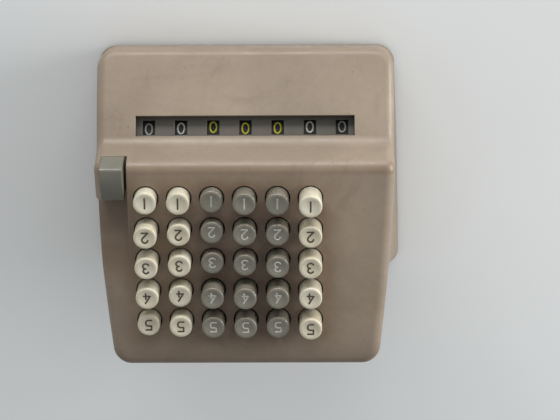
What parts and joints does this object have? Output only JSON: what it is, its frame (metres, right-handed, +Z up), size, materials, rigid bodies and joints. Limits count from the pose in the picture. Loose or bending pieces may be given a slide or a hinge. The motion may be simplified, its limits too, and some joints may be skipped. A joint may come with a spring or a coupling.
{
  "type": "mechanical adding machine",
  "caption": "Key-driven desk adding machine: beige shell with stepped top, register window with number wheels, round keys in columns and a clear lever.",
  "frame": {"origin": "centre of the machine's footprint on the surface it stands on", "axes": "+X the operator's right, +Y the rear, +Z up; the operator sits at -Y"},
  "size_m": [0.1926, 0.1702, 0.1273],
  "materials": {
    "beige_enamel": "satin",
    "zinc_plate": "satin",
    "foot_rubber": "matte",
    "screw_steel": "satin",
    "bright_steel": "polished",
    "grey_mask": "matte",
    "spring_steel": "satin",
    "lever_plastic": "gloss",
    "wheel_black": "matte",
    "cream_key": "satin",
    "grey_key": "satin"
  },
  "bodies": {
    "machine": {"casing": "beige_enamel", "base_plate": "zinc_plate", "rubber_feet": "foot_rubber", "foot_screws": "screw_steel", "left_frame": "zinc_plate", "right_frame": "zinc_plate", "tie_rods": "bright_steel", "frame_screws": "screw_steel", "upper_guide_plate": "zinc_plate", "lower_guide_plate": "zinc_plate", "sector_shaft": "bright_steel", "window_mask": "grey_mask", "key_springs": "spring_steel"},
    "clear_lever": {"clear_lever": "lever_plastic", "register_shaft": "bright_steel"},
    "number_wheel_1": {"number_wheel_1": "wheel_black"},
    "number_wheel_2": {"number_wheel_2": "wheel_black"},
    "number_wheel_3": {"number_wheel_3": "wheel_black"},
    "number_wheel_4": {"number_wheel_4": "wheel_black"},
    "number_wheel_5": {"number_wheel_5": "wheel_black"},
    "number_wheel_6": {"number_wheel_6": "wheel_black"},
    "number_wheel_7": {"number_wheel_7": "wheel_black"},
    "sector_column1": {"sector_column1": "zinc_plate"},
    "sector_column2": {"sector_column2": "zinc_plate"},
    "sector_column3": {"sector_column3": "zinc_plate"},
    "sector_column4": {"sector_column4": "zinc_plate"},
    "sector_column5": {"sector_column5": "zinc_plate"},
    "sector_column6": {"sector_column6": "zinc_plate"},
    "key_column1_digit1": {"key_column1_digit1": "cream_key"},
    "key_column1_digit2": {"key_column1_digit2": "cream_key"},
    "key_column1_digit3": {"key_column1_digit3": "cream_key"},
    "key_column1_digit4": {"key_column1_digit4": "cream_key"},
    "key_column1_digit5": {"key_column1_digit5": "cream_key"},
    "key_column2_digit1": {"key_column2_digit1": "cream_key"},
    "key_column2_digit2": {"key_column2_digit2": "cream_key"},
    "key_column2_digit3": {"key_column2_digit3": "cream_key"},
    "key_column2_digit4": {"key_column2_digit4": "cream_key"},
    "key_column2_digit5": {"key_column2_digit5": "cream_key"},
    "key_column3_digit1": {"key_column3_digit1": "grey_key"},
    "key_column3_digit2": {"key_column3_digit2": "grey_key"},
    "key_column3_digit3": {"key_column3_digit3": "grey_key"},
    "key_column3_digit4": {"key_column3_digit4": "grey_key"},
    "key_column3_digit5": {"key_column3_digit5": "grey_key"},
    "key_column4_digit1": {"key_column4_digit1": "grey_key"},
    "key_column4_digit2": {"key_column4_digit2": "grey_key"},
    "key_column4_digit3": {"key_column4_digit3": "grey_key"},
    "key_column4_digit4": {"key_column4_digit4": "grey_key"},
    "key_column4_digit5": {"key_column4_digit5": "grey_key"},
    "key_column5_digit1": {"key_column5_digit1": "grey_key"},
    "key_column5_digit2": {"key_column5_digit2": "grey_key"},
    "key_column5_digit3": {"key_column5_digit3": "grey_key"},
    "key_column5_digit4": {"key_column5_digit4": "grey_key"},
    "key_column5_digit5": {"key_column5_digit5": "grey_key"},
    "key_column6_digit1": {"key_column6_digit1": "cream_key"},
    "key_column6_digit2": {"key_column6_digit2": "cream_key"},
    "key_column6_digit3": {"key_column6_digit3": "cream_key"},
    "key_column6_digit4": {"key_column6_digit4": "cream_key"},
    "key_column6_digit5": {"key_column6_digit5": "cream_key"}
  },
  "joints": [
    {"name": "clear_lever_swing", "type": "hinge", "parent": "machine", "child": "clear_lever", "pos_m": [0, -0.0364, 0.0462], "axis": [1, 0, 0], "range_deg": [0, 15], "stiffness_Nm_per_rad": 0.15, "springref_deg": -11.46},
    {"name": "free_wheel_turn", "type": "hinge", "parent": "machine", "child": "number_wheel_7", "pos_m": [0, -0.0364, 0.0462], "axis": [1, 0, 0], "continuous": true},
    {"name": "key_c1_d1_press", "type": "slide", "parent": "machine", "child": "key_column1_digit1", "axis": [0, 0.1736, -0.9848], "range_m": [0, 0.0084], "stiffness_N_per_m": 60, "springref_m": -0.01, "deforming": ["key_springs"]},
    {"name": "key_c1_d2_press", "type": "slide", "parent": "machine", "child": "key_column1_digit2", "axis": [0, 0.1736, -0.9848], "range_m": [0, 0.0084], "stiffness_N_per_m": 60, "springref_m": -0.01, "deforming": ["key_springs"]},
    {"name": "key_c1_d3_press", "type": "slide", "parent": "machine", "child": "key_column1_digit3", "axis": [0, 0.1736, -0.9848], "range_m": [0, 0.0084], "stiffness_N_per_m": 60, "springref_m": -0.01, "deforming": ["key_springs"]},
    {"name": "key_c1_d4_press", "type": "slide", "parent": "machine", "child": "key_column1_digit4", "axis": [0, 0.1736, -0.9848], "range_m": [0, 0.0084], "stiffness_N_per_m": 60, "springref_m": -0.01, "deforming": ["key_springs"]},
    {"name": "key_c1_d5_press", "type": "slide", "parent": "machine", "child": "key_column1_digit5", "axis": [0, 0.1736, -0.9848], "range_m": [0, 0.0084], "stiffness_N_per_m": 60, "springref_m": -0.01, "deforming": ["key_springs"]},
    {"name": "key_c2_d1_press", "type": "slide", "parent": "machine", "child": "key_column2_digit1", "axis": [0, 0.1736, -0.9848], "range_m": [0, 0.0084], "stiffness_N_per_m": 60, "springref_m": -0.01, "deforming": ["key_springs"]},
    {"name": "key_c2_d2_press", "type": "slide", "parent": "machine", "child": "key_column2_digit2", "axis": [0, 0.1736, -0.9848], "range_m": [0, 0.0084], "stiffness_N_per_m": 60, "springref_m": -0.01, "deforming": ["key_springs"]},
    {"name": "key_c2_d3_press", "type": "slide", "parent": "machine", "child": "key_column2_digit3", "axis": [0, 0.1736, -0.9848], "range_m": [0, 0.0084], "stiffness_N_per_m": 60, "springref_m": -0.01, "deforming": ["key_springs"]},
    {"name": "key_c2_d4_press", "type": "slide", "parent": "machine", "child": "key_column2_digit4", "axis": [0, 0.1736, -0.9848], "range_m": [0, 0.0084], "stiffness_N_per_m": 60, "springref_m": -0.01, "deforming": ["key_springs"]},
    {"name": "key_c2_d5_press", "type": "slide", "parent": "machine", "child": "key_column2_digit5", "axis": [0, 0.1736, -0.9848], "range_m": [0, 0.0084], "stiffness_N_per_m": 60, "springref_m": -0.01, "deforming": ["key_springs"]},
    {"name": "key_c3_d1_press", "type": "slide", "parent": "machine", "child": "key_column3_digit1", "axis": [0, 0.1736, -0.9848], "range_m": [0, 0.0066], "stiffness_N_per_m": 60, "springref_m": -0.01, "deforming": ["key_springs"]},
    {"name": "key_c3_d2_press", "type": "slide", "parent": "machine", "child": "key_column3_digit2", "axis": [0, 0.1736, -0.9848], "range_m": [0, 0.0064], "stiffness_N_per_m": 60, "springref_m": -0.01, "deforming": ["key_springs"]},
    {"name": "key_c3_d3_press", "type": "slide", "parent": "machine", "child": "key_column3_digit3", "axis": [0, 0.1736, -0.9848], "range_m": [0, 0.006], "stiffness_N_per_m": 60, "springref_m": -0.01, "deforming": ["key_springs"]},
    {"name": "key_c3_d4_press", "type": "slide", "parent": "machine", "child": "key_column3_digit4", "axis": [0, 0.1736, -0.9848], "range_m": [0, 0.0084], "stiffness_N_per_m": 60, "springref_m": -0.01, "deforming": ["key_springs"]},
    {"name": "key_c3_d5_press", "type": "slide", "parent": "machine", "child": "key_column3_digit5", "axis": [0, 0.1736, -0.9848], "range_m": [0, 0.0084], "stiffness_N_per_m": 60, "springref_m": -0.01, "deforming": ["key_springs"]},
    {"name": "key_c4_d1_press", "type": "slide", "parent": "machine", "child": "key_column4_digit1", "axis": [0, 0.1736, -0.9848], "range_m": [0, 0.0084], "stiffness_N_per_m": 60, "springref_m": -0.01, "deforming": ["key_springs"]},
    {"name": "key_c4_d2_press", "type": "slide", "parent": "machine", "child": "key_column4_digit2", "axis": [0, 0.1736, -0.9848], "range_m": [0, 0.0084], "stiffness_N_per_m": 60, "springref_m": -0.01, "deforming": ["key_springs"]},
    {"name": "key_c4_d3_press", "type": "slide", "parent": "machine", "child": "key_column4_digit3", "axis": [0, 0.1736, -0.9848], "range_m": [0, 0.0084], "stiffness_N_per_m": 60, "springref_m": -0.01, "deforming": ["key_springs"]},
    {"name": "key_c4_d4_press", "type": "slide", "parent": "machine", "child": "key_column4_digit4", "axis": [0, 0.1736, -0.9848], "range_m": [0, 0.0084], "stiffness_N_per_m": 60, "springref_m": -0.01, "deforming": ["key_springs"]},
    {"name": "key_c4_d5_press", "type": "slide", "parent": "machine", "child": "key_column4_digit5", "axis": [0, 0.1736, -0.9848], "range_m": [0, 0.0084], "stiffness_N_per_m": 60, "springref_m": -0.01, "deforming": ["key_springs"]},
    {"name": "key_c5_d1_press", "type": "slide", "parent": "machine", "child": "key_column5_digit1", "axis": [0, 0.1736, -0.9848], "range_m": [0, 0.0084], "stiffness_N_per_m": 60, "springref_m": -0.01, "deforming": ["key_springs"]},
    {"name": "key_c5_d2_press", "type": "slide", "parent": "machine", "child": "key_column5_digit2", "axis": [0, 0.1736, -0.9848], "range_m": [0, 0.0084], "stiffness_N_per_m": 60, "springref_m": -0.01, "deforming": ["key_springs"]},
    {"name": "key_c5_d3_press", "type": "slide", "parent": "machine", "child": "key_column5_digit3", "axis": [0, 0.1736, -0.9848], "range_m": [0, 0.0084], "stiffness_N_per_m": 60, "springref_m": -0.01, "deforming": ["key_springs"]},
    {"name": "key_c5_d4_press", "type": "slide", "parent": "machine", "child": "key_column5_digit4", "axis": [0, 0.1736, -0.9848], "range_m": [0, 0.0084], "stiffness_N_per_m": 60, "springref_m": -0.01, "deforming": ["key_springs"]},
    {"name": "key_c5_d5_press", "type": "slide", "parent": "machine", "child": "key_column5_digit5", "axis": [0, 0.1736, -0.9848], "range_m": [0, 0.0084], "stiffness_N_per_m": 60, "springref_m": -0.01, "deforming": ["key_springs"]},
    {"name": "key_c6_d1_press", "type": "slide", "parent": "machine", "child": "key_column6_digit1", "axis": [0, 0.1736, -0.9848], "range_m": [0, 0.0084], "stiffness_N_per_m": 60, "springref_m": -0.01, "deforming": ["key_springs"]},
    {"name": "key_c6_d2_press", "type": "slide", "parent": "machine", "child": "key_column6_digit2", "axis": [0, 0.1736, -0.9848], "range_m": [0, 0.0084], "stiffness_N_per_m": 60, "springref_m": -0.01, "deforming": ["key_springs"]},
    {"name": "key_c6_d3_press", "type": "slide", "parent": "machine", "child": "key_column6_digit3", "axis": [0, 0.1736, -0.9848], "range_m": [0, 0.0084], "stiffness_N_per_m": 60, "springref_m": -0.01, "deforming": ["key_springs"]},
    {"name": "key_c6_d4_press", "type": "slide", "parent": "machine", "child": "key_column6_digit4", "axis": [0, 0.1736, -0.9848], "range_m": [0, 0.0084], "stiffness_N_per_m": 60, "springref_m": -0.01, "deforming": ["key_springs"]},
    {"name": "key_c6_d5_press", "type": "slide", "parent": "machine", "child": "key_column6_digit5", "axis": [0, 0.1736, -0.9848], "range_m": [0, 0.0084], "stiffness_N_per_m": 60, "springref_m": -0.01, "deforming": ["key_springs"]},
    {"name": "sector_1_swing", "type": "hinge", "parent": "machine", "child": "sector_column1", "pos_m": [0, 0.06782, 0.038], "axis": [1, 0, 0], "range_deg": [0, 18.01]},
    {"name": "wheel_1_turn", "type": "hinge", "parent": "machine", "child": "number_wheel_1", "pos_m": [0, -0.0364, 0.0462], "axis": [1, 0, 0], "range_deg": [-180.1, 0]},
    {"name": "sector_2_swing", "type": "hinge", "parent": "machine", "child": "sector_column2", "pos_m": [0, 0.06782, 0.038], "axis": [1, 0, 0], "range_deg": [0, 18.01]},
    {"name": "wheel_2_turn", "type": "hinge", "parent": "machine", "child": "number_wheel_2", "pos_m": [0, -0.0364, 0.0462], "axis": [1, 0, 0], "range_deg": [-180.1, 0]},
    {"name": "sector_3_swing", "type": "hinge", "parent": "machine", "child": "sector_column3", "pos_m": [0, 0.06782, 0.038], "axis": [1, 0, 0], "range_deg": [0, 18.01]},
    {"name": "wheel_3_turn", "type": "hinge", "parent": "machine", "child": "number_wheel_3", "pos_m": [0, -0.0364, 0.0462], "axis": [1, 0, 0], "range_deg": [-180.1, 0]},
    {"name": "sector_4_swing", "type": "hinge", "parent": "machine", "child": "sector_column4", "pos_m": [0, 0.06782, 0.038], "axis": [1, 0, 0], "range_deg": [0, 18.01]},
    {"name": "wheel_4_turn", "type": "hinge", "parent": "machine", "child": "number_wheel_4", "pos_m": [0, -0.0364, 0.0462], "axis": [1, 0, 0], "range_deg": [-180.1, 0]},
    {"name": "sector_5_swing", "type": "hinge", "parent": "machine", "child": "sector_column5", "pos_m": [0, 0.06782, 0.038], "axis": [1, 0, 0], "range_deg": [0, 18.01]},
    {"name": "wheel_5_turn", "type": "hinge", "parent": "machine", "child": "number_wheel_5", "pos_m": [0, -0.0364, 0.0462], "axis": [1, 0, 0], "range_deg": [-180.1, 0]},
    {"name": "sector_6_swing", "type": "hinge", "parent": "machine", "child": "sector_column6", "pos_m": [0, 0.06782, 0.038], "axis": [1, 0, 0], "range_deg": [0, 18.01]},
    {"name": "wheel_6_turn", "type": "hinge", "parent": "machine", "child": "number_wheel_6", "pos_m": [0, -0.0364, 0.0462], "axis": [1, 0, 0], "range_deg": [-180.1, 0]}
  ],
  "couplings": [
    {"joint": "sector_1_swing", "follows": "key_c1_d5_press", "rad_per_m": 37.4},
    {"joint": "wheel_1_turn", "follows": "key_c1_d5_press", "rad_per_m": -374},
    {"joint": "sector_2_swing", "follows": "key_c2_d5_press", "rad_per_m": 37.4},
    {"joint": "wheel_2_turn", "follows": "key_c2_d5_press", "rad_per_m": -374},
    {"joint": "sector_3_swing", "follows": "key_c3_d5_press", "rad_per_m": 37.4},
    {"joint": "wheel_3_turn", "follows": "key_c3_d5_press", "rad_per_m": -374},
    {"joint": "sector_4_swing", "follows": "key_c4_d5_press", "rad_per_m": 37.4},
    {"joint": "wheel_4_turn", "follows": "key_c4_d5_press", "rad_per_m": -374},
    {"joint": "sector_5_swing", "follows": "key_c5_d5_press", "rad_per_m": 37.4},
    {"joint": "wheel_5_turn", "follows": "key_c5_d5_press", "rad_per_m": -374},
    {"joint": "sector_6_swing", "follows": "key_c6_d5_press", "rad_per_m": 37.4},
    {"joint": "wheel_6_turn", "follows": "key_c6_d5_press", "rad_per_m": -374}
  ]
}
